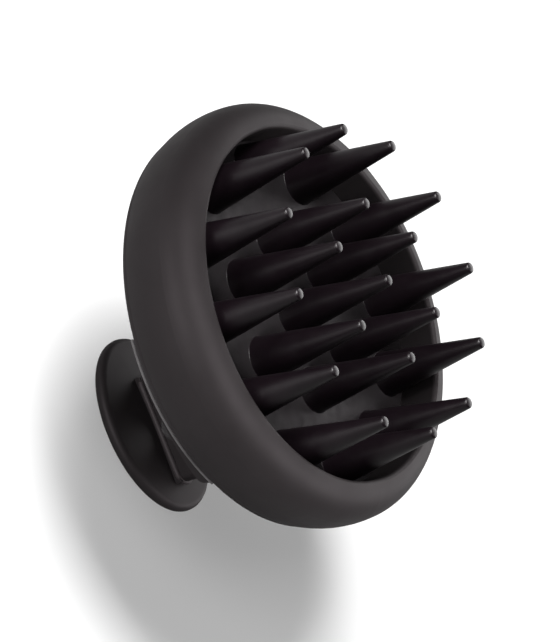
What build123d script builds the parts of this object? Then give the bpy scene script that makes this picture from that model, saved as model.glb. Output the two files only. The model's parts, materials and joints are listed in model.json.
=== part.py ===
"""Scalp massager brush: a round head with long soft bristles and a palm plate on a narrow neck.

The brush stands on its palm plate, bristles up. All sizes are millimetres.
The part frame has its origin at the middle of the palm plate's outer face, +Z up and +X along the
plate's long axis. The head has a frame of its own, on the head's axis at the height of the rim:
it leans towards +X by head_lean, and everything but the palm plate is drawn in it.
"""
from build123d import *
import math
import os

# Head: a solid of revolution about the head's axis
head_lean = 7.6
head_origin = (-4.6, 0.0, 49.0)
opening_radius = 33.4
opening_rounding = 0.8
side_arc_radius = 16.0
side_arc_center_r = 24.0
side_arc_center_z = -7.9
roll_center_r = 33.45
roll_center_z = -6.6
shoulder_radius = 1.6
back_z = -16.3

# What the head holds, stacked from the bristle side
pad_top_z = -8.25
pad_thickness = 4.2
pad_radius = 34.3
plate_thickness = 1.75
plate_radius = 34.3
pocket_clearance = 0.1
gasket_thickness = 0.8
gasket_inner_radius = 34.6
cover_radius = 36.3
cover_recess_radius = 36.4
cover_crown = 2.2
cover_wall = 1.8

# Bristles: blunt cones on a centre and two rings
inner_ring_radius = 14.45
outer_ring_radius = 28.45
inner_ring_count = 6
outer_ring_count = 12
bristle_base_radius = 4.38
bristle_tip_radius = 1.22
bristle_top_z = 14.35
pivot_height = 2.0
socket_clearance = 0.13

# Neck: a saddle across the back that narrows to a web with a hanging hole
neck_center_x = 12.45
neck_base_half_width = 13.65
neck_web_half_width = 10.8
neck_edge_radius = 37.2
neck_edge_z = -16.9
neck_flare_radius = 17.0
neck_flare_end_z = -38.0
neck_edge_rounding = 1.2
neck_reach = 4.0
web_half_thickness = 1.8
hanging_hole_radius = 3.2
hanging_hole_z = -40.1

# Palm plate, drawn in the part frame
palm_half_length = 17.8
palm_half_width = 13.2
palm_edge_thickness = 2.6
palm_edge_rounding = 1.25
palm_crown = 0.7
mortise_floor_z = 1.8
rail_height = 1.0
rail_width = 0.4
rail_rounding = 0.15

# Countersunk self-tapping screws
screw_radius = 1.1
screw_head_radius = 2.0
screw_head_height = 1.0
screw_slot_length = 2.6
screw_slot_width = 0.5
screw_slot_depth = 0.5
cover_screw_length = 4.6
cover_screw_ring_radius = 21.5
cover_screw_count = 6
cover_boss_radius = 2.8
neck_screw_length = 8.0
neck_screw_spacing = 10.0
neck_screw_head_rise = 1.2
palm_screw_length = 6.5
palm_screw_x = (-5.4, 9.1)
palm_screw_recess = 0.3

plate_top_z = pad_top_z - pad_thickness
plate_bottom_z = plate_top_z - plate_thickness
ledge_z = plate_bottom_z + gasket_thickness
pivot_z = pad_top_z + pivot_height
root_radius = math.hypot(bristle_base_radius, pivot_height)
head_frame = Location(head_origin, (0, head_lean, 0))


def side_radius(z):
    """Radius of the head's side arc at height z."""
    return side_arc_center_r + math.sqrt(side_arc_radius**2 - (z - side_arc_center_z) ** 2)


def crown_radius(radius, crown):
    """Radius of the arc of a shallow crown that falls by crown at radius."""
    return (radius**2 + crown**2) / (2 * crown)


def crown_drop(radius, crown, r):
    """Fall at r of a shallow crown that falls by crown at radius."""
    arc_radius = crown_radius(radius, crown)
    return arc_radius - math.sqrt(arc_radius**2 - r**2)


def at(r, z):
    """Point of an outline that is revolved about Z."""
    return (r, 0, z)


def on_circle(center_r, center_z, radius, turn):
    """Point at angle turn on a circle of an outline that is revolved about Z."""
    return at(center_r + radius * math.cos(turn), center_z + radius * math.sin(turn))


def revolved(outline):
    """Solid of revolution about Z from an outline in the XZ plane."""
    return revolve(make_face(outline), Axis.Z)


def disc(radius, top_z, bottom_z):
    """Plain disc about the head's axis."""
    return Pos(0, 0, bottom_z) * Cylinder(
        radius, top_z - bottom_z, align=(Align.CENTER, Align.CENTER, Align.MIN)
    )


def housing_section(shoulder):
    """Section of the housing: rolled rim, curved side, and a stepped pocket inside.

    A shoulder of zero carries the side straight on to the back.
    """
    offset_r = roll_center_r - side_arc_center_r
    offset_z = roll_center_z - side_arc_center_z
    roll_radius = side_arc_radius - math.hypot(offset_r, offset_z)
    rim_r = opening_radius + opening_rounding
    rim_z = roll_center_z + math.sqrt(roll_radius**2 - (rim_r - roll_center_r) ** 2)
    joint_turn = math.atan2(offset_z, offset_r)
    rim_turn = math.atan2(rim_z - roll_center_z, rim_r - roll_center_r)
    roll_middle_turn = (joint_turn + rim_turn) / 2
    joint = on_circle(side_arc_center_r, side_arc_center_z, side_arc_radius, joint_turn)
    lip_z = rim_z - opening_rounding
    side_end_z = back_z + shoulder
    side_end = at(side_radius(side_end_z), side_end_z)
    side_middle_z = (joint[2] + side_end_z) / 2
    back_r = side_radius(side_end_z) - shoulder
    pocket_r = pad_radius + pocket_clearance
    edges = [
        Line(at(opening_radius, pad_top_z), at(opening_radius, lip_z)),
        ThreePointArc(
            at(opening_radius, lip_z),
            on_circle(rim_r, lip_z, opening_rounding, math.radians(135)),
            at(rim_r, rim_z),
        ),
        ThreePointArc(
            at(rim_r, rim_z),
            on_circle(roll_center_r, roll_center_z, roll_radius, roll_middle_turn),
            joint,
        ),
        ThreePointArc(joint, at(side_radius(side_middle_z), side_middle_z), side_end),
    ]
    if shoulder:
        shoulder_middle = on_circle(back_r, side_end_z, shoulder, math.radians(-45))
        edges.append(ThreePointArc(side_end, shoulder_middle, at(back_r, back_z)))
    edges += Polyline(
        at(back_r, back_z),
        at(cover_recess_radius, back_z),
        at(cover_recess_radius, ledge_z),
        at(pocket_r, ledge_z),
        at(pocket_r, pad_top_z),
        at(opening_radius, pad_top_z),
    ).edges()
    return edges


def make_housing():
    """Outer ring: its shoulder is rounded all round, except under the two ends of the neck."""
    round_ring = revolved(housing_section(shoulder_radius))
    square_ring = revolved(housing_section(0))
    landing = Pos(neck_center_x, 0, back_z) * Box(
        2 * neck_base_half_width, 4 * neck_edge_radius, 3 * shoulder_radius
    )
    return round_ring + (square_ring & landing)


def cover_dome(radius, offset):
    """Solid between the plate's back and the crowned back face, moved in by offset."""
    edge_z = back_z + offset
    crown_z = edge_z - cover_crown
    middle_r = radius / 2
    middle_z = crown_z + crown_drop(radius, cover_crown, middle_r)
    outline = [
        Line(at(0, plate_bottom_z), at(radius, plate_bottom_z)),
        Line(at(radius, plate_bottom_z), at(radius, edge_z)),
        ThreePointArc(at(radius, edge_z), at(middle_r, middle_z), at(0, crown_z)),
        Line(at(0, crown_z), at(0, plate_bottom_z)),
    ]
    return revolved(outline)


def screw(length):
    """Countersunk screw, head at z=0 and point down, with a cross recess."""
    outline = Polyline(
        at(0, 0),
        at(screw_head_radius, 0),
        at(screw_radius, -screw_head_height),
        at(screw_radius, -length + screw_radius),
        at(0, -length),
        close=True,
    )
    slot = Box(screw_slot_length, screw_slot_width, 2 * screw_slot_depth)
    return revolved(outline) - slot - Rot(0, 0, 90) * slot


def screw_hole(length):
    """The space that a screw takes up, without its recess."""
    outline = Polyline(
        at(0, 0),
        at(screw_head_radius, 0),
        at(screw_radius, -screw_head_height),
        at(screw_radius, -length),
        at(0, -length),
        close=True,
    )
    return revolved(outline)


def ring_places(radius, count, z=0.0, start=0.0):
    """Locations evenly spaced on a circle about the head's axis."""
    places = []
    for index in range(count):
        angle = math.radians(start + 360 * index / count)
        places.append(Pos(radius * math.cos(angle), radius * math.sin(angle), z))
    return places


def bristle_places():
    """Name and location of each bristle."""
    places = {"bristle_center": Pos(0, 0, 0)}
    for index, place in enumerate(ring_places(inner_ring_radius, inner_ring_count), 1):
        places[f"bristle_inner_{index:02d}"] = place
    for index, place in enumerate(ring_places(outer_ring_radius, outer_ring_count), 1):
        places[f"bristle_outer_{index:02d}"] = place
    return places


def make_bristle():
    """Blunt cone on a spherical root that is centred a little above the pad."""
    tip_z = bristle_top_z - bristle_tip_radius
    slope = math.asin((bristle_base_radius - bristle_tip_radius) / (tip_z - pad_top_z))
    tip_end = on_circle(0, tip_z, bristle_tip_radius, slope)
    tip_middle = on_circle(0, tip_z, bristle_tip_radius, (math.pi / 2 + slope) / 2)
    root_turn = math.atan2(-pivot_height, bristle_base_radius)
    root_middle = on_circle(0, pivot_z, root_radius, (root_turn - math.pi / 2) / 2)
    foot = at(bristle_base_radius, pad_top_z)
    root_bottom = at(0, pivot_z - root_radius)
    outline = [
        Line(root_bottom, at(0, bristle_top_z)),
        ThreePointArc(at(0, bristle_top_z), tip_middle, tip_end),
        Line(tip_end, foot),
        ThreePointArc(foot, root_middle, root_bottom),
    ]
    return revolved(outline)


def make_pad():
    """Soft pad with one spherical socket for each bristle."""
    pad = disc(pad_radius, pad_top_z, plate_top_z)
    socket = Pos(0, 0, pivot_z) * Sphere(root_radius + socket_clearance)
    for place in bristle_places().values():
        pad -= place * socket
    return pad


def cover_screw_places():
    """Screws that hold the backing plate down on the cover, heads in the plate's top face."""
    start = 180 / cover_screw_count
    return ring_places(cover_screw_ring_radius, cover_screw_count, plate_top_z, start)


def neck_screw_places():
    """Screws that hold the neck, heads on the cover's inner side."""
    head_z = back_z - cover_crown + cover_wall + neck_screw_head_rise
    return [Pos(neck_center_x, side * neck_screw_spacing / 2, head_z) for side in (-1, 1)]


def make_backing_plate():
    """Stiff disc under the pad."""
    plate = disc(plate_radius, plate_top_z, plate_bottom_z)
    for place in cover_screw_places():
        plate -= place * screw_hole(cover_screw_length)
    return plate


def make_rear_cover():
    """Crowned back cover with a boss for each screw."""
    outer = cover_dome(cover_radius, 0)
    cover = outer - cover_dome(cover_radius - cover_wall, cover_wall)
    for place in cover_screw_places():
        boss_height = plate_top_z - back_z + cover_crown
        boss = Cylinder(cover_boss_radius, boss_height, align=(Align.CENTER, Align.CENTER, Align.MAX))
        cover += place * boss & outer
    for place in neck_screw_places():
        boss = Cylinder(
            cover_boss_radius, neck_screw_length, align=(Align.CENTER, Align.CENTER, Align.MAX)
        )
        cover += place * boss & outer
    for place in cover_screw_places():
        cover -= place * screw_hole(cover_screw_length)
    for place in neck_screw_places():
        cover -= place * screw_hole(neck_screw_length)
    return cover


def make_gasket():
    """Flat ring between the cover's edge and the housing's ledge."""
    outer = disc(cover_radius, ledge_z, plate_bottom_z)
    return outer - disc(gasket_inner_radius, ledge_z, plate_bottom_z)


def neck_side_profile():
    """Half of the neck seen along X: back of the head, flare and web, in the YZ plane."""
    flare_y = web_half_thickness + neck_flare_radius
    flare_z = neck_flare_end_z
    rise = neck_edge_z - flare_z
    reach = neck_edge_radius - flare_y
    turn = math.atan2(rise, reach) + math.acos(neck_flare_radius / math.hypot(rise, reach))

    def on_flare(angle):
        return (
            0,
            flare_y + neck_flare_radius * math.cos(angle),
            flare_z + neck_flare_radius * math.sin(angle),
        )

    touch = on_flare(turn)
    slope = (neck_edge_z - touch[2]) / (neck_edge_radius - touch[1])
    far_y = neck_edge_radius + neck_reach
    far_z = neck_edge_z + slope * neck_reach
    web_start = (0, web_half_thickness, flare_z)
    bottom_z = head_bottom_z()
    return make_face(
        [
            Line((0, 0, plate_bottom_z), (0, far_y, plate_bottom_z)),
            Line((0, far_y, plate_bottom_z), (0, far_y, far_z)),
            Line((0, far_y, far_z), touch),
            ThreePointArc(touch, on_flare((turn + math.pi) / 2), web_start),
            Line(web_start, (0, web_half_thickness, bottom_z)),
            Line((0, web_half_thickness, bottom_z), (0, 0, bottom_z)),
            Line((0, 0, bottom_z), (0, 0, plate_bottom_z)),
        ]
    )


def neck_front_profile():
    """Half of the neck seen along Y, from its middle out to +X, in the XZ plane."""
    widening = neck_base_half_width - neck_web_half_width
    height = neck_edge_z - neck_flare_end_z

    def half_width(z):
        return neck_web_half_width + crown_drop(height, widening, z - neck_flare_end_z)

    bottom_z = head_bottom_z()
    top = at(half_width(plate_bottom_z), plate_bottom_z)
    web_start = at(neck_web_half_width, neck_flare_end_z)
    return make_face(
        [
            Line(at(0, plate_bottom_z), top),
            ThreePointArc(top, at(half_width(neck_edge_z), neck_edge_z), web_start),
            Line(web_start, at(neck_web_half_width, bottom_z)),
            Line(at(neck_web_half_width, bottom_z), at(0, bottom_z)),
            Line(at(0, bottom_z), at(0, plate_bottom_z)),
        ]
    )


def make_neck():
    """Saddle across the back that flares to the head's edge and narrows to a thin web."""
    across = extrude(neck_side_profile(), 2 * neck_base_half_width, both=True)
    along = extrude(neck_front_profile(), 2 * neck_edge_radius, both=True)
    quarter = across & along
    half = quarter + mirror(quarter, Plane.YZ)
    blank = half + mirror(half, Plane.XZ)
    side_edges = [
        edge
        for edge in blank.edges()
        if edge.bounding_box().size.Z > neck_edge_rounding and abs(edge.center().Y) < neck_edge_radius
    ]
    neck = Pos(neck_center_x, 0, 0) * fillet(side_edges, neck_edge_rounding)
    neck &= disc(neck_edge_radius, back_z, head_bottom_z())
    neck -= cover_dome(cover_radius, 0)
    hole = Rot(90, 0, 0) * Cylinder(hanging_hole_radius, 4 * web_half_thickness)
    neck -= Pos(neck_center_x, 0, hanging_hole_z) * hole
    for place in neck_screw_places():
        neck -= place * screw_hole(neck_screw_length)
    return neck


def head_bottom_z():
    """Height in the head's frame that is below the whole palm plate."""
    return -head_origin[2] - palm_half_length


def make_palm_plate():
    """Oval plate: flat outer face, round edge and slightly crowned inner face."""
    thickness = palm_edge_thickness + palm_crown
    slab = extrude(Ellipse(palm_half_length, palm_half_width), thickness)
    ball_radius = crown_radius(palm_half_length, palm_crown)
    ball = Pos(0, 0, thickness - ball_radius) * Sphere(ball_radius)
    plate = slab & scale(ball, by=(1, palm_half_width / palm_half_length, 1))
    rims = [edge for edge in plate.edges() if edge.length > 2 * palm_half_length]
    return fillet(rims, palm_edge_rounding)


def web_foot_center_x():
    """Place of the web's middle on the palm plate."""
    lean = math.radians(head_lean)
    depth = (head_origin[2] - palm_edge_thickness - palm_crown) / math.cos(lean)
    return head_origin[0] + neck_center_x / math.cos(lean) - depth * math.sin(lean)


def palm_screw_places():
    """Screws from the plate's outer face into the web."""
    return [Location((x, 0, palm_screw_recess), (180, 0, 0)) for x in palm_screw_x]


def join_neck_and_palm(neck, plate):
    """Set the web into a mortise in the plate, with a rail along each side, and drill both."""
    foot_x = web_foot_center_x()
    foot_z = palm_edge_thickness + palm_crown
    rail_z = foot_z + rail_height
    rail = Pos(foot_x, 0, (mortise_floor_z + rail_z) / 2) * Box(
        2 * neck_web_half_width, 2 * (web_half_thickness + rail_width), rail_z - mortise_floor_z
    )
    plate += fillet(rail.edges().group_by(Axis.Z)[-1].filter_by(Axis.X), rail_rounding)
    below = Box(
        4 * palm_half_length,
        4 * palm_half_width,
        2 * palm_half_length,
        align=(Align.CENTER, Align.CENTER, Align.MAX),
    )
    neck -= Pos(0, 0, mortise_floor_z) * below
    plate -= neck
    for place in palm_screw_places():
        room = place * screw_hole(palm_screw_length)
        recess = place * Pos(0, 0, palm_screw_recess) * Cylinder(
            screw_head_radius, 2 * palm_screw_recess
        )
        neck -= room
        plate -= room + recess
    return neck, plate


def placed(places, piece):
    """One node of identical pieces."""
    return Compound([place * piece for place in places])


def build():
    """Every piece of the brush by node name, in the part frame."""
    bristle = make_bristle()
    head_pieces = {
        "housing": make_housing(),
        "bristle_pad": make_pad(),
        "backing_plate": make_backing_plate(),
        "cover_gasket": make_gasket(),
        "rear_cover": make_rear_cover(),
        "cover_screws": placed(cover_screw_places(), screw(cover_screw_length)),
        "neck_screws": placed(neck_screw_places(), screw(neck_screw_length)),
    }
    for name, place in bristle_places().items():
        head_pieces[name] = place * bristle
    pieces = {name: head_frame * piece for name, piece in head_pieces.items()}
    neck, palm_plate = join_neck_and_palm(head_frame * make_neck(), make_palm_plate())
    pieces["handle_neck"] = neck
    pieces["palm_plate"] = palm_plate
    pieces["palm_screws"] = placed(palm_screw_places(), screw(palm_screw_length))
    return pieces


os.makedirs("parts", exist_ok=True)
for node, piece in build().items():
    export_step(piece, f"parts/{node}.step")
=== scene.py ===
"""Scalp massager brush: materials, soft silicone pieces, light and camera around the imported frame.

Sizes are millimetres, turned into metres where meshes are made. The head has its own frame: origin in
the middle of the pad's top face, Z along the head's axis, X and Y through the rows of bristles.
"""
import json
import math

import bpy
from mathutils import Matrix, Vector

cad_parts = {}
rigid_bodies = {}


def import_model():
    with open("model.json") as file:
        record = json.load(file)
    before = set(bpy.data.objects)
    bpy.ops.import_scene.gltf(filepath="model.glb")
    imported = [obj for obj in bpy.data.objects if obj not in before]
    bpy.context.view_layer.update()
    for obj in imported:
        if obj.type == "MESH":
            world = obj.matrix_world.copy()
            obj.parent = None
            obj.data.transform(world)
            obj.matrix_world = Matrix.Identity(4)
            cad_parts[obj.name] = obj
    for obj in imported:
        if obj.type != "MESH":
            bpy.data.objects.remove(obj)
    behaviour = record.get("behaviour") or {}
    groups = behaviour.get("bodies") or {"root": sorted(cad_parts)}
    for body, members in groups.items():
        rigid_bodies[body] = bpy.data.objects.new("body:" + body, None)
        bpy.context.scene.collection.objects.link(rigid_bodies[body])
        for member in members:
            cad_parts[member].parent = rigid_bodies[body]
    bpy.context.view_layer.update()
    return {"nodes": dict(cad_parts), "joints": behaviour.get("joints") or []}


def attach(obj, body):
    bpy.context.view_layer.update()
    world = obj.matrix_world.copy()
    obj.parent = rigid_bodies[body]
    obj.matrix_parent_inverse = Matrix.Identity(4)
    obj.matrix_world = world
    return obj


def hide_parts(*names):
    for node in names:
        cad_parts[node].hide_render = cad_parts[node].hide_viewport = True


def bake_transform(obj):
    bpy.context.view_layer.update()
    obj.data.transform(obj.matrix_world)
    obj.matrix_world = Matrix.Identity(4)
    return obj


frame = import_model()

MM = 0.001

# Camera
camera_azimuth = 11.062
camera_elevation = 33.541
camera_roll = 61.239
camera_distance = 516.94
camera_target = Vector((-5.957, 1.062, 36.965))
camera_lens = 156.9
camera_sensor = 36.0
camera_clip_start_m = 0.01
camera_clip_end_m = 20.0

# Head and its silicone pieces
pivot_height = 2.0
pad_radius = 34.3
pad_thickness = 4.2
pad_edge_rounding = 0.5
bristle_base_radius = 4.38
bristle_tip_radius = 1.22
bristle_height = 22.6
bristle_tip_corner = 0.55
bristle_tip_dome = 2.2
bristle_tip_drop = 0.08
bristle_foot_fillet = 0.12
bristle_sunk_depth = 0.4

# Thin beads on the neck's two end edges, and the rounded rail around the foot of the web
neck_center_x = 12.45
neck_base_half_width = 13.65
edge_bead_circle_radius = 37.12
edge_bead_drop = 8.62
edge_bead_radius = 0.3
rail_center_y = 1.9
rail_center_z = 3.9
rail_radius = 0.55
web_half_width = 10.9

# Floor: half its width, its gap below the plate, and the share of its brightness that it throws back
floor_half_width_m = 3.0
floor_gap = 0.02
floor_bounce = 0.35

# How finely the meshes are divided, and the rounds that settle the bristle tip's corner
bristle_segments = 64
bristle_taper_steps = 26
bristle_arc_steps = 6
bristle_corner_steps = 8
bristle_tip_rounds = 40
pad_segments = 160
pad_edge_steps = 5
pad_face_steps = 12
pad_underside_steps = 4
bar_sides = 20
bar_end_steps = 4
edge_bead_steps = 48
rail_end_steps = 24

# A noise's values lie almost all between these two
noise_low = 0.3
noise_high = 0.7

# The rail's lightness against the shell's, a painted highlight, and the usual values of the lights
rail_painted_highlight_tone = 2.6
world_strength = 0.02
softbox_distance_m = 1.2


def head_matrix():
    """The head's frame in the part frame, in millimetres, from the bristles' pivots."""
    pivots = {joint["name"]: Vector(joint["pos_m"]) / MM for joint in frame["joints"]}
    x_axis = (pivots["bend_outer_01"] - pivots["bend_outer_07"]).normalized()
    y_axis = (pivots["bend_outer_04"] - pivots["bend_outer_10"]).normalized()
    z_axis = x_axis.cross(y_axis).normalized()
    origin = pivots["bend_center"] - z_axis * pivot_height
    matrix = Matrix((x_axis, y_axis, z_axis)).transposed().to_4x4()
    matrix.translation = origin
    return matrix


head = head_matrix()


# ---------------------------------------------------------------- camera


def make_camera():
    """Camera that looks along azimuth and elevation at the target, rolled about its own axis."""
    azimuth = math.radians(camera_azimuth)
    elevation = math.radians(camera_elevation)
    forward = Vector(
        (
            -math.sin(azimuth) * math.cos(elevation),
            math.cos(azimuth) * math.cos(elevation),
            -math.sin(elevation),
        )
    )
    data = bpy.data.cameras.new("camera")
    data.lens = camera_lens
    data.sensor_width = camera_sensor
    data.clip_start = camera_clip_start_m
    data.clip_end = camera_clip_end_m
    camera = bpy.data.objects.new("camera", data)
    level = forward.to_track_quat("-Z", "Y").to_matrix().to_4x4()
    place = Matrix.Translation((camera_target - forward * camera_distance) * MM)
    camera.matrix_world = place @ level @ Matrix.Rotation(math.radians(camera_roll), 4, "Z")
    bpy.context.scene.collection.objects.link(camera)
    bpy.context.scene.camera = camera


# ---------------------------------------------------------------- mesh helpers


def arc_points(center_r, center_z, radius, start, end, count):
    """Points on an arc of a lathe outline, angles in degrees."""
    points = []
    for index in range(count + 1):
        turn = math.radians(start + (end - start) * index / count)
        points.append((center_r + radius * math.cos(turn), center_z + radius * math.sin(turn)))
    return points


def line_points(start, end, count):
    """Points along a straight stretch of an outline, without its two ends."""
    points = []
    for index in range(1, count):
        share = index / count
        points.append(tuple(a + (b - a) * share for a, b in zip(start, end)))
    return points


def smooth_piece(name, vertices, faces):
    """Object in the scene with a smooth-shaded mesh, from vertices in millimetres."""
    mesh = bpy.data.meshes.new(name)
    mesh.from_pydata([vertex * MM for vertex in vertices], [], faces)
    mesh.validate()
    mesh.shade_smooth()
    piece = bpy.data.objects.new(name, mesh)
    bpy.context.scene.collection.objects.link(piece)
    return piece


def lathe(name, outline, matrix, segments):
    """Closed solid turned from (radius, height) points that start and end on the axis."""
    vertices = []
    faces = []
    rings = []
    for radius, height in outline:
        if radius == 0.0:
            rings.append([len(vertices)])
            vertices.append((0.0, 0.0, height))
            continue
        ring = []
        for index in range(segments):
            turn = 2 * math.pi * index / segments
            ring.append(len(vertices))
            vertices.append((radius * math.cos(turn), radius * math.sin(turn), height))
        rings.append(ring)
    for lower, upper in zip(rings, rings[1:]):
        for index in range(segments):
            after = (index + 1) % segments
            if len(lower) == 1:
                faces.append((lower[0], upper[after], upper[index]))
            elif len(upper) == 1:
                faces.append((lower[index], lower[after], upper[0]))
            else:
                faces.append((lower[index], lower[after], upper[after], upper[index]))
    return smooth_piece(name, [matrix @ Vector(vertex) for vertex in vertices], faces)


def dome_turn(step):
    """Angle of one ring of a bar's domed end, where step 0 is the bar's own last ring."""
    return math.pi / 2 * step / (bar_end_steps + 1)


def dome_rings(ring, radius, way):
    """Rings past one end of a bar, for its dome, from the bar outwards."""
    point, along, side, up = ring
    turns = [dome_turn(step) for step in range(1, bar_end_steps + 1)]
    return [(point + along * (way * radius * math.sin(turn)), along, side, up) for turn in turns]


def end_share(index, count):
    """Share of the full radius at a ring of an open bar, less than 1 in its domes."""
    inward = min(index, count - 1 - index)
    return math.cos(dome_turn(max(0, bar_end_steps - inward)))


def tube(name, path, radius, closed=False):
    """Solid round bar along a path of points in the part frame, with domed ends when it is open."""
    count = len(path)
    sides = bar_sides
    rings = []
    for index, point in enumerate(path):
        before = path[index - 1] if index or closed else point
        after = path[(index + 1) % count] if index + 1 < count or closed else point
        along = (after - before).normalized()
        side = along.cross(Vector((0, 0, 1))).normalized()
        rings.append((point, along, side, side.cross(along)))
    if not closed:
        rings = dome_rings(rings[0], radius, -1)[::-1] + rings + dome_rings(rings[-1], radius, 1)
    ring_count = len(rings)
    vertices = []
    for index, (point, _, side, up) in enumerate(rings):
        spread = radius if closed else radius * end_share(index, ring_count)
        for step in range(sides):
            turn = 2 * math.pi * step / sides
            vertices.append(point + (side * math.cos(turn) + up * math.sin(turn)) * spread)
    faces = []
    for index in range(ring_count if closed else ring_count - 1):
        start = index * sides
        after = (index + 1) % ring_count * sides
        for step in range(sides):
            turned = (step + 1) % sides
            faces.append((start + step, after + step, after + turned, start + turned))
    if not closed:
        faces.append(tuple(range(sides)))
        faces.append(tuple(reversed(range((ring_count - 1) * sides, ring_count * sides))))
    return smooth_piece(name, vertices, faces)


# ---------------------------------------------------------------- materials


class Shader:
    """A Principled material and the few node chains that the finishes share."""

    def __init__(self, name, **values):
        self.material = bpy.data.materials.new(name)
        self.material.use_nodes = True
        self.nodes = self.material.node_tree.nodes
        self.links = self.material.node_tree.links
        self.bsdf = self.nodes["Principled BSDF"]
        for socket, value in values.items():
            self.bsdf.inputs[socket.replace("_", " ")].default_value = value
        self.place = self.nodes.new("ShaderNodeTexCoord").outputs["Object"]

    def noise(self, scale, detail=3.0, roughness=0.5, stretch=None):
        """Noise over the object, with its scale in cells per metre."""
        node = self.nodes.new("ShaderNodeTexNoise")
        node.inputs["Scale"].default_value = scale
        node.inputs["Detail"].default_value = detail
        node.inputs["Roughness"].default_value = roughness
        place = self.place
        if stretch:
            mapping = self.nodes.new("ShaderNodeMapping")
            mapping.inputs["Scale"].default_value = stretch
            self.links.new(place, mapping.inputs["Vector"])
            place = mapping.outputs["Vector"]
        self.links.new(place, node.inputs["Vector"])
        return node.outputs["Fac"]

    def ramp(self, value, dark, light):
        """Colours from dark to light over a noise."""
        node = self.nodes.new("ShaderNodeValToRGB")
        stops = ((noise_low, dark), (noise_high, light))
        for element, (position, color) in zip(node.color_ramp.elements, stops):
            element.position = position
            element.color = (*color, 1.0)
        self.links.new(value, node.inputs["Fac"])
        return node.outputs["Color"]

    def spread(self, value, low, high, from_low=noise_low, from_high=noise_high):
        """Number from low to high over a noise, or over another value with its own ends."""
        node = self.nodes.new("ShaderNodeMapRange")
        node.inputs["From Min"].default_value = from_low
        node.inputs["From Max"].default_value = from_high
        node.inputs["To Min"].default_value = low
        node.inputs["To Max"].default_value = high
        self.links.new(value, node.inputs["Value"])
        return node.outputs["Result"]

    def scaled(self, color, share):
        """Colour times a value."""
        node = self.nodes.new("ShaderNodeVectorMath")
        node.operation = "SCALE"
        self.links.new(color, node.inputs[0])
        self.links.new(share, node.inputs["Scale"])
        return node.outputs["Vector"]

    def bump(self, height, strength, distance, onto=None):
        """Normal of a bumpy surface, with the bumps' height in millimetres, over an earlier normal."""
        node = self.nodes.new("ShaderNodeBump")
        node.inputs["Strength"].default_value = strength
        node.inputs["Distance"].default_value = distance * MM
        self.links.new(height, node.inputs["Height"])
        if onto:
            self.links.new(onto, node.inputs["Normal"])
        return node.outputs["Normal"]

    def join(self, output, socket):
        """Links an output to a socket of the Principled shader."""
        self.links.new(output, self.bsdf.inputs[socket])


def shell_plastic(name, tone=1.0):
    """Matte warm dark-grey plastic with a fine moulded grain. Tone is its lightness; above 1 it paints a
    highlight.
    """
    shader = Shader(name, IOR=1.34, Specular_Tint=(1.0, 0.90, 0.94, 1.0))
    dark = [channel * tone for channel in (0.0222, 0.0190, 0.0198)]
    light = [channel * tone for channel in (0.0262, 0.0226, 0.0236)]
    mottle = shader.noise(scale=90.0, detail=4.0, roughness=0.6)
    shader.join(shader.ramp(mottle, dark, light), "Base Color")
    grain = shader.noise(scale=2600.0, detail=2.0, roughness=0.55)
    wipe = shader.noise(scale=160.0, detail=5.0, roughness=0.65)
    shader.join(shader.spread(wipe, low=0.50, high=0.58), "Roughness")
    ripple = shader.bump(shader.noise(scale=260.0, detail=2.0), strength=0.12, distance=0.03)
    shader.join(shader.bump(grain, strength=0.35, distance=0.012, onto=ripple), "Normal")
    return shader.material


def painted_highlight_plastic():
    """The shell's plastic made much lighter, to paint the highlight along a thin edge."""
    shader = Shader("painted_highlight_plastic", IOR=1.46)
    highlight_mottle = shader.noise(scale=160.0, detail=4.0, roughness=0.6)
    # Painted highlight: greys far lighter than the shell's, for the bright line on the edge
    shader.join(shader.ramp(highlight_mottle, (0.13, 0.122, 0.125), (0.24, 0.228, 0.232)), "Base Color")
    shader.join(shader.spread(shader.noise(scale=700.0), low=0.35, high=0.5), "Roughness")
    grain = shader.noise(scale=2600.0, detail=2.0)
    shader.join(shader.bump(grain, strength=0.2, distance=0.01), "Normal")
    return shader.material


def bristle_silicone():
    """Glossy near-black silicone with a faint orange-peel skin."""
    shader = Shader("bristle_silicone", IOR=1.43, Specular_Tint=(1.0, 0.97, 0.98, 1.0))
    mottle = shader.noise(scale=140.0)
    shader.join(shader.ramp(mottle, (0.0036, 0.0018, 0.0029), (0.0056, 0.0031, 0.0046)), "Base Color")
    wipe = shader.noise(scale=420.0, detail=4.0, roughness=0.6)
    shader.join(shader.spread(wipe, low=0.33, high=0.41), "Roughness")
    skin = shader.noise(scale=900.0, detail=2.0)
    shader.join(shader.bump(skin, strength=0.15, distance=0.01), "Normal")
    return shader.material


def pad_silicone():
    """Flat grey silicone with a fine eroded texture."""
    shader = Shader("pad_silicone", IOR=1.43, Specular_Tint=(1.0, 0.90, 0.95, 1.0))
    mottle = shader.noise(scale=120.0, detail=4.0, roughness=0.6)
    shader.join(shader.ramp(mottle, (0.036, 0.0318, 0.0340), (0.045, 0.0400, 0.0425)), "Base Color")
    shader.join(shader.spread(shader.noise(scale=500.0, detail=4.0), low=0.55, high=0.68), "Roughness")
    texture = shader.noise(scale=3200.0, detail=2.0)
    shader.join(shader.bump(texture, strength=0.4, distance=0.015), "Normal")
    return shader.material


def inner_plastic():
    """Uncoated grey plastic of the parts inside."""
    shader = Shader("inner_plastic", IOR=1.46)
    mottle = shader.noise(scale=200.0, detail=4.0)
    shader.join(shader.ramp(mottle, (0.10, 0.10, 0.10), (0.13, 0.13, 0.13)), "Base Color")
    shader.join(shader.spread(shader.noise(scale=700.0), low=0.42, high=0.52), "Roughness")
    grain = shader.noise(scale=1800.0, detail=2.0)
    shader.join(shader.bump(grain, strength=0.2, distance=0.01), "Normal")
    return shader.material


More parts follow.
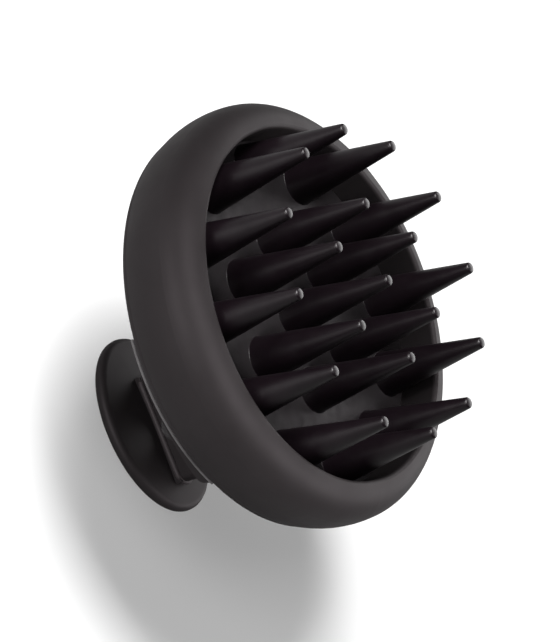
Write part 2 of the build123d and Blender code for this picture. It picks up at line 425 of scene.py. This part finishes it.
def gasket_rubber():
    """Soft black rubber."""
    shader = Shader("gasket_rubber", IOR=1.5)
    mottle = shader.noise(scale=300.0, detail=4.0)
    shader.join(shader.ramp(mottle, (0.010, 0.010, 0.010), (0.016, 0.015, 0.015)), "Base Color")
    shader.join(shader.spread(shader.noise(scale=900.0), low=0.65, high=0.8), "Roughness")
    shader.join(shader.bump(shader.noise(scale=2400.0), strength=0.4, distance=0.02), "Normal")
    return shader.material


def screw_steel():
    """Zinc-plated steel with fine turning marks."""
    shader = Shader("screw_steel", Metallic=1.0)
    mottle = shader.noise(scale=600.0, detail=4.0)
    shader.join(shader.ramp(mottle, (0.36, 0.36, 0.37), (0.52, 0.52, 0.53)), "Base Color")
    shader.join(shader.spread(shader.noise(scale=1500.0), low=0.22, high=0.42), "Roughness")
    turning = shader.noise(scale=2500.0, detail=2.0, stretch=(1.0, 1.0, 6.0))
    shader.join(shader.bump(turning, strength=0.25, distance=0.01), "Normal")
    return shader.material


def floor_paper():
    """Plain near-white studio paper, which throws less light back on the brush than it shows."""
    shader = Shader("floor_paper", IOR=1.3)
    paper = shader.ramp(shader.noise(scale=8.0), (0.90, 0.90, 0.90), (0.92, 0.92, 0.92))
    seen = shader.nodes.new("ShaderNodeLightPath").outputs["Is Camera Ray"]
    share = shader.spread(seen, low=floor_bounce, high=1.0, from_low=0.0, from_high=1.0)
    shader.join(shader.scaled(paper, share), "Base Color")
    shader.join(shader.spread(shader.noise(scale=40.0), low=0.85, high=0.95), "Roughness")
    return shader.material


# ---------------------------------------------------------------- pieces


def bristle_outline():
    """Foot fillet, straight taper and blunt tip of one bristle, from the bottom up.

    The tip is a shallow dome with a rounded corner. The corner touches the taper and the dome, so its
    radius and height depend on each other, and a few rounds settle them.
    """
    slope = math.asin((bristle_base_radius - bristle_tip_radius) / (bristle_height - bristle_tip_radius))
    slope_degrees = math.degrees(slope)
    fillet = bristle_foot_fillet
    taper = math.tan(slope)
    foot_top_r = bristle_base_radius - fillet * taper
    corner = bristle_tip_corner
    dome = bristle_tip_dome - corner
    dome_center_z = bristle_height - bristle_tip_drop - bristle_tip_dome
    corner_z = bristle_height
    for _ in range(bristle_tip_rounds):
        corner_r = bristle_base_radius - corner_z * taper - corner / math.cos(slope)
        corner_z = dome_center_z + math.sqrt(dome**2 - corner_r**2)
    dome_start = math.degrees(math.atan2(corner_z - dome_center_z, corner_r))
    outline = [(0.0, -bristle_sunk_depth)]
    outline.append((bristle_base_radius + fillet, -bristle_sunk_depth))
    outline.append((bristle_base_radius + fillet, 0.0))
    foot = arc_points(
        bristle_base_radius + fillet, fillet, fillet, 270, 180 + slope_degrees, bristle_arc_steps
    )
    outline += foot[1:]
    tip = arc_points(corner_r, corner_z, corner, slope_degrees, dome_start, bristle_corner_steps)
    outline += line_points((foot_top_r, fillet), tip[0], bristle_taper_steps)
    outline += tip
    outline += arc_points(0.0, dome_center_z, bristle_tip_dome, dome_start, 90, bristle_arc_steps)[1:-1]
    outline.append((0.0, bristle_height - bristle_tip_drop))
    return outline


def make_bristles(material):
    """One soft bristle at the foot of each bristle body, whose CAD node it hides."""
    outline = bristle_outline()
    up = head.to_3x3() @ Vector((0, 0, 1))
    for joint in frame["joints"]:
        body = joint["child"]
        foot = Vector(joint["pos_m"]) / MM - up * pivot_height
        place = head.copy()
        place.translation = foot
        piece = lathe("soft_" + body, outline, place, bristle_segments)
        piece.data.materials.append(material)
        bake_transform(piece)
        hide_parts(body)


def make_pad(material):
    """Smooth pad that the bristles grow out of."""
    rounding = pad_edge_rounding
    edge = pad_radius - rounding
    outline = [(0.0, -pad_thickness)]
    outline += line_points((0.0, -pad_thickness), (edge, -pad_thickness), pad_underside_steps)
    outline += arc_points(edge, rounding - pad_thickness, rounding, 270, 360, pad_edge_steps)
    outline += arc_points(edge, -rounding, rounding, 0, 90, pad_edge_steps)
    outline += line_points((edge, 0.0), (0.0, 0.0), pad_face_steps)
    outline.append((0.0, 0.0))
    piece = lathe("soft_pad", outline, head, pad_segments)
    piece.data.materials.append(material)
    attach(piece, "brush_body")
    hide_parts("bristle_pad")


def make_edge_beads(material):
    """Thin bead along each end edge of the neck, where it meets the head's side; its material paints the
    bright highlight there.
    """
    start = math.acos((neck_center_x - neck_base_half_width) / edge_bead_circle_radius)
    end = math.acos((neck_center_x + neck_base_half_width) / edge_bead_circle_radius)
    for name, side in (("edge_bead_a", -1), ("edge_bead_b", 1)):
        path = []
        for step in range(edge_bead_steps + 1):
            turn = side * (start + (end - start) * step / edge_bead_steps)
            x = edge_bead_circle_radius * math.cos(turn)
            y = edge_bead_circle_radius * math.sin(turn)
            path.append(head @ Vector((x, y, -edge_bead_drop)))
        piece = tube(name, path, edge_bead_radius)
        piece.data.materials.append(material)
        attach(piece, "brush_body")


def make_rail(material):
    """Rounded rail that runs around the foot of the web."""
    web_axis = head.to_3x3() @ Vector((0, 0, 1))
    on_axis = head @ Vector((neck_center_x, 0, 0))
    foot = on_axis + web_axis * ((rail_center_z - on_axis.z) / web_axis.z)
    path = []
    corner = rail_center_y
    for middle_x, first_turn in ((web_half_width - corner, -90), (corner - web_half_width, 90)):
        for step in range(rail_end_steps + 1):
            turn = math.radians(first_turn + 180 * step / rail_end_steps)
            offset = Vector((middle_x + corner * math.cos(turn), corner * math.sin(turn), 0))
            path.append(foot + offset)
    piece = tube("rail_bar", path, rail_radius, closed=True)
    piece.data.materials.append(material)
    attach(piece, "brush_body")


def finish_cad_nodes(materials):
    """Gives the CAD nodes that nothing replaces their better materials."""
    finishes = {
        "housing": "shell_plastic",
        "handle_neck": "shell_plastic",
        "rear_cover": "shell_plastic",
        "palm_plate": "shell_plastic",
        "backing_plate": "inner_plastic",
        "cover_gasket": "gasket_rubber",
        "cover_screws": "screw_steel",
        "neck_screws": "screw_steel",
        "palm_screws": "screw_steel",
    }
    for node, slot in finishes.items():
        for material_slot in frame["nodes"][node].material_slots:
            material_slot.material = materials[slot]


# ---------------------------------------------------------------- stage and light


def make_floor(material):
    """Pale floor that the palm plate stands on."""
    mesh = bpy.data.meshes.new("floor")
    half = floor_half_width_m
    level = -floor_gap * MM
    corners = [(-half, -half, level), (half, -half, level), (half, half, level), (-half, half, level)]
    mesh.from_pydata(corners, [], [(0, 1, 2, 3)])
    mesh.materials.append(material)
    floor = bpy.data.objects.new("floor", mesh)
    bpy.context.scene.collection.objects.link(floor)
    group = bpy.data.collections.new("floor_only")
    group.objects.link(floor)
    return group


def light_group(name, belongs):
    """Collection of the pieces whose name belongs, for the lights that shine on them alone."""
    group = bpy.data.collections.new(name)
    for piece in bpy.context.scene.objects:
        if piece.type == "MESH" and belongs(piece.name):
            group.objects.link(piece)
    return group


def softbox(name, azimuth, elevation, size, power, only, distance=softbox_distance_m, shadowless=False):
    """Rectangular light that faces the head and lights only the pieces in one collection.

    Azimuth 0 is +X and 90 is +Y. Size is its width and height in metres.
    """
    turn = math.radians(azimuth)
    rise = math.radians(elevation)
    toward = Vector((math.cos(turn) * math.cos(rise), math.sin(turn) * math.cos(rise), math.sin(rise)))
    data = bpy.data.lights.new(name, "AREA")
    data.shape = "RECTANGLE"
    data.size, data.size_y = size
    data.energy = power
    light = bpy.data.objects.new(name, data)
    place = Matrix.Translation(camera_target * MM + toward * distance)
    light.matrix_world = place @ (-toward).to_track_quat("-Z", "Y").to_matrix().to_4x4()
    light.light_linking.receiver_collection = only
    data.use_shadow = not shadowless
    bpy.context.scene.collection.objects.link(light)


def make_world(strength):
    """White surroundings, bright where the camera sees them and of the given strength as a light."""
    world = bpy.data.worlds.new("studio")
    world.use_nodes = True
    nodes = world.node_tree.nodes
    links = world.node_tree.links
    background = nodes["Background"]
    background.inputs["Color"].default_value = (1.0, 1.0, 1.0, 1.0)
    shown = nodes.new("ShaderNodeMapRange")
    shown.inputs["To Min"].default_value = strength
    shown.inputs["To Max"].default_value = 1.0
    links.new(nodes.new("ShaderNodeLightPath").outputs["Is Camera Ray"], shown.inputs["Value"])
    links.new(shown.outputs["Result"], background.inputs["Strength"])
    bpy.context.scene.world = world


make_camera()
bpy.context.scene.view_settings.view_transform = "Standard"

materials = {
    "shell_plastic": shell_plastic("shell_plastic"),
    # The rail: the shell's plastic made lighter, a painted highlight
    "rail_painted_highlight_plastic": shell_plastic("rail_painted_highlight_plastic", rail_painted_highlight_tone),
    "painted_highlight_plastic": painted_highlight_plastic(),
    "bristle_silicone": bristle_silicone(),
    "pad_silicone": pad_silicone(),
    "inner_plastic": inner_plastic(),
    "gasket_rubber": gasket_rubber(),
    "screw_steel": screw_steel(),
}
finish_cad_nodes(materials)
make_bristles(materials["bristle_silicone"])
make_pad(materials["pad_silicone"])
make_edge_beads(materials["painted_highlight_plastic"])
make_rail(materials["rail_painted_highlight_plastic"])

floor_only = make_floor(floor_paper())
bristles_only = light_group("bristles_only", lambda name: name.startswith("soft_bristle"))
pad_only = light_group("pad_only", lambda name: name == "soft_pad")
shell_only = light_group("shell_only", lambda name: name != "floor" and not name.startswith("soft_"))
brush_only = light_group("brush_only", lambda name: name != "floor")
make_world(world_strength)

# On the floor: an even fill, and two lights that cast the shadow
softbox("floor_fill", 120, 60, (2.6, 2.6), power=76, only=floor_only, distance=4.0, shadowless=True)
softbox("floor_key", 190, 58, (0.5, 0.5), power=17, only=floor_only)
softbox("floor_front", 262, 50, (0.5, 0.5), power=2.5, only=floor_only)

# Low behind the brush: the soft light on the rim's far side and the crescents on the bristle tips
softbox("back_shell", 88, 26, (1.5, 1.15), power=11, only=shell_only)
softbox("back_bristles", 86, 25, (1.5, 1.15), power=19, only=bristles_only)

# In front and above, and on the pad
softbox("low_front", 257, 12, (0.8, 0.5), power=7.5, only=brush_only)
softbox("top_left", 235, 65, (0.5, 0.5), power=6.5, only=shell_only)
softbox("top_right", 335, 62, (0.5, 0.5), power=8, only=shell_only)
softbox("right", 30, 38, (0.5, 0.5), power=4.5, only=shell_only)
softbox("pad_fill", 276, 27, (1.1, 0.4), power=28, only=pad_only)
softbox("pad_back", 95, 32, (0.8, 0.5), power=6, only=pad_only)
softbox("bristle_key", 232, 58, (0.55, 0.55), power=27, only=bristles_only)
